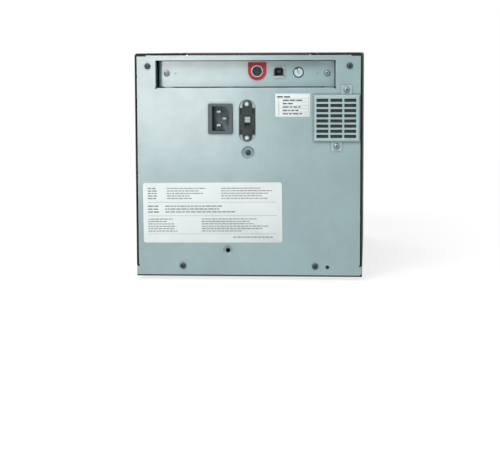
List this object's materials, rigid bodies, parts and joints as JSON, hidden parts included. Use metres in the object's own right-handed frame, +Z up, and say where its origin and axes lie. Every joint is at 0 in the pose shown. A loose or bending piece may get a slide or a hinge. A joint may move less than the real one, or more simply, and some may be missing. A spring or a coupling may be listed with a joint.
{
  "type": "disc label printer",
  "caption": "Desktop thermal printer that draws a disc on a sliding tray under a ribbon print head, with rear power and data connectors and a hinged ribbon lid.",
  "frame": {"origin": "on the table, under the middle of the housing", "axes": "+Z up; -Y is the operator's side with the tray, +Y the connector side; +X is the operator's right"},
  "size_m": [0.235, 0.4, 0.235],
  "materials": {
    "black_steel": "fine black powder coat",
    "zinc_steel": "zinc plated sheet, satin",
    "black_moulding": "finely textured moulding",
    "black_plastic": "moulded, satin",
    "feet_rubber": "matt",
    "bright_steel": "bright plated",
    "nickel": "nickel plated",
    "red_plastic": "semi-gloss",
    "blue_plastic": "semi-gloss",
    "white_plastic": "moulded",
    "grey_plastic": "moulded",
    "board_green": "solder resist",
    "aluminium": "milled",
    "motor_steel": "satin",
    "film_black": "thin film",
    "clear_lens": "frosted",
    "brass": "machined",
    "supply_case": "plated sheet",
    "filter_foam": "open-cell foam",
    "roller_rubber": "ground"
  },
  "bodies": {
    "housing": {"base_pan": "black_steel", "bright_screws": "bright_steel", "button_board": "board_green", "cross_rods": "bright_steel", "fan_filter": "filter_foam", "fan_frame": "black_plastic", "fan_guard": "zinc_steel", "front_bezel": "black_moulding", "head_cam_motor": "motor_steel", "head_pivot_shaft": "bright_steel", "inlet_pins": "nickel", "interface_board": "board_green", "interface_shelf": "zinc_steel", "io_plate": "zinc_steel", "left_side_plate": "zinc_steel", "lid_hinge_leaf": "black_steel", "lid_hinge_pin": "bright_steel", "logic_board": "board_green", "mini_din_insert": "black_plastic", "mini_din_shell": "nickel", "mini_din_surround": "red_plastic", "mode_switch_body": "blue_plastic", "outer_cover": "black_steel", "panel_screws": "black_steel", "power_inlet": "black_plastic", "power_supply": "supply_case", "rear_panel": "zinc_steel", "ribbon_film": "film_black", "ribbon_motor": "motor_steel", "right_side_plate": "zinc_steel", "rubber_feet": "feet_rubber", "status_lenses": "clear_lens", "tray_guides": "white_plastic", "tray_motor": "motor_steel", "usb_shell": "nickel", "usb_tongue": "black_plastic", "voltage_switch_body": "black_plastic", "voltage_switch_rivets": "bright_steel"},
    "lid": {"top_lid": "black_steel"},
    "mode_rotor": {"mode_switch_rotor": "white_plastic"},
    "voltage_knob": {"voltage_switch_knob": "grey_plastic"},
    "rotor": {"fan_rotor": "black_plastic"},
    "tray": {"disc_tray": "black_moulding", "tray_rack": "white_plastic", "disc_hub": "grey_plastic"},
    "pinion": {"tray_pinion": "white_plastic"},
    "platen": {"platen_roller": "roller_rubber"},
    "head": {"thermal_head": "aluminium", "head_carrier": "zinc_steel"},
    "cams": {"head_cam_shaft": "bright_steel"},
    "supply_reel": {"supply_spool": "grey_plastic", "supply_ribbon": "film_black", "supply_spindle": "bright_steel"},
    "takeup_reel": {"takeup_spool": "grey_plastic", "takeup_ribbon": "film_black", "takeup_spindle": "bright_steel", "takeup_gear": "white_plastic"},
    "ribbon_drive": {"ribbon_drive_gear": "brass"},
    "power_key": {"power_button": "grey_plastic"},
    "eject_key": {"eject_button": "grey_plastic"}
  },
  "joints": [
    {"name": "lid_hinge", "type": "hinge", "parent": "housing", "child": "lid", "pos_m": [0, 0.1905, 0.2326], "axis": [-1, 0, 0], "range_deg": [0, 100]},
    {"name": "tray_slide", "type": "slide", "parent": "housing", "child": "tray", "axis": [0, -1, 0], "range_m": [-0.085, 0.137]},
    {"name": "pinion_spin", "type": "hinge", "parent": "housing", "child": "pinion", "pos_m": [-0.055, -0.082, 0.0983], "axis": [1, 0, 0], "range_deg": [-470, 755]},
    {"name": "platen_spin", "type": "hinge", "parent": "housing", "child": "platen", "pos_m": [0, -0.1, 0.10285], "axis": [1, 0, 0], "range_deg": [-612, 985]},
    {"name": "head_lift", "type": "hinge", "parent": "housing", "child": "head", "pos_m": [0, -0.06, 0.15], "axis": [1, 0, 0], "range_deg": [0, 3.6], "stiffness_Nm_per_rad": 0.6, "springref_deg": -17.19},
    {"name": "cam_turn", "type": "hinge", "parent": "housing", "child": "cams", "pos_m": [0, -0.1, 0.14325], "axis": [1, 0, 0], "range_deg": [0, 180]},
    {"name": "takeup_spin", "type": "hinge", "parent": "housing", "child": "takeup_reel", "pos_m": [0, -0.14, 0.19], "axis": [1, 0, 0], "continuous": true},
    {"name": "supply_spin", "type": "hinge", "parent": "housing", "child": "supply_reel", "pos_m": [0, -0.03, 0.19], "axis": [1, 0, 0], "continuous": true},
    {"name": "ribbon_drive_spin", "type": "hinge", "parent": "housing", "child": "ribbon_drive", "pos_m": [0.076, -0.11879, 0.16879], "axis": [1, 0, 0], "continuous": true},
    {"name": "fan_spin", "type": "hinge", "parent": "housing", "child": "rotor", "pos_m": [-0.091, 0.184, 0.1684], "axis": [0, 1, 0], "continuous": true},
    {"name": "mode_dial_turn", "type": "hinge", "parent": "housing", "child": "mode_rotor", "pos_m": [-0.0512, 0.184, 0.21515], "axis": [0, 1, 0], "continuous": true},
    {"name": "voltage_slide", "type": "slide", "parent": "housing", "child": "voltage_knob", "axis": [0, 0, -1], "range_m": [0, 0.0035]},
    {"name": "power_press", "type": "slide", "parent": "housing", "child": "power_key", "axis": [0, 1, 0], "range_m": [0, 0.0012], "stiffness_N_per_m": 400, "springref_m": -0.001},
    {"name": "eject_press", "type": "slide", "parent": "housing", "child": "eject_key", "axis": [0, 1, 0], "range_m": [0, 0.0012], "stiffness_N_per_m": 400, "springref_m": -0.001}
  ],
  "couplings": [
    {"joint": "pinion_spin", "follows": "tray_slide", "rad_per_m": 95.238},
    {"joint": "platen_spin", "follows": "tray_slide", "rad_per_m": 125},
    {"joint": "head_lift", "follows": "cam_turn", "ratio": 0.02},
    {"joint": "supply_spin", "follows": "takeup_spin", "ratio": 0.66667},
    {"joint": "ribbon_drive_spin", "follows": "takeup_spin", "ratio": -4}
  ]
}
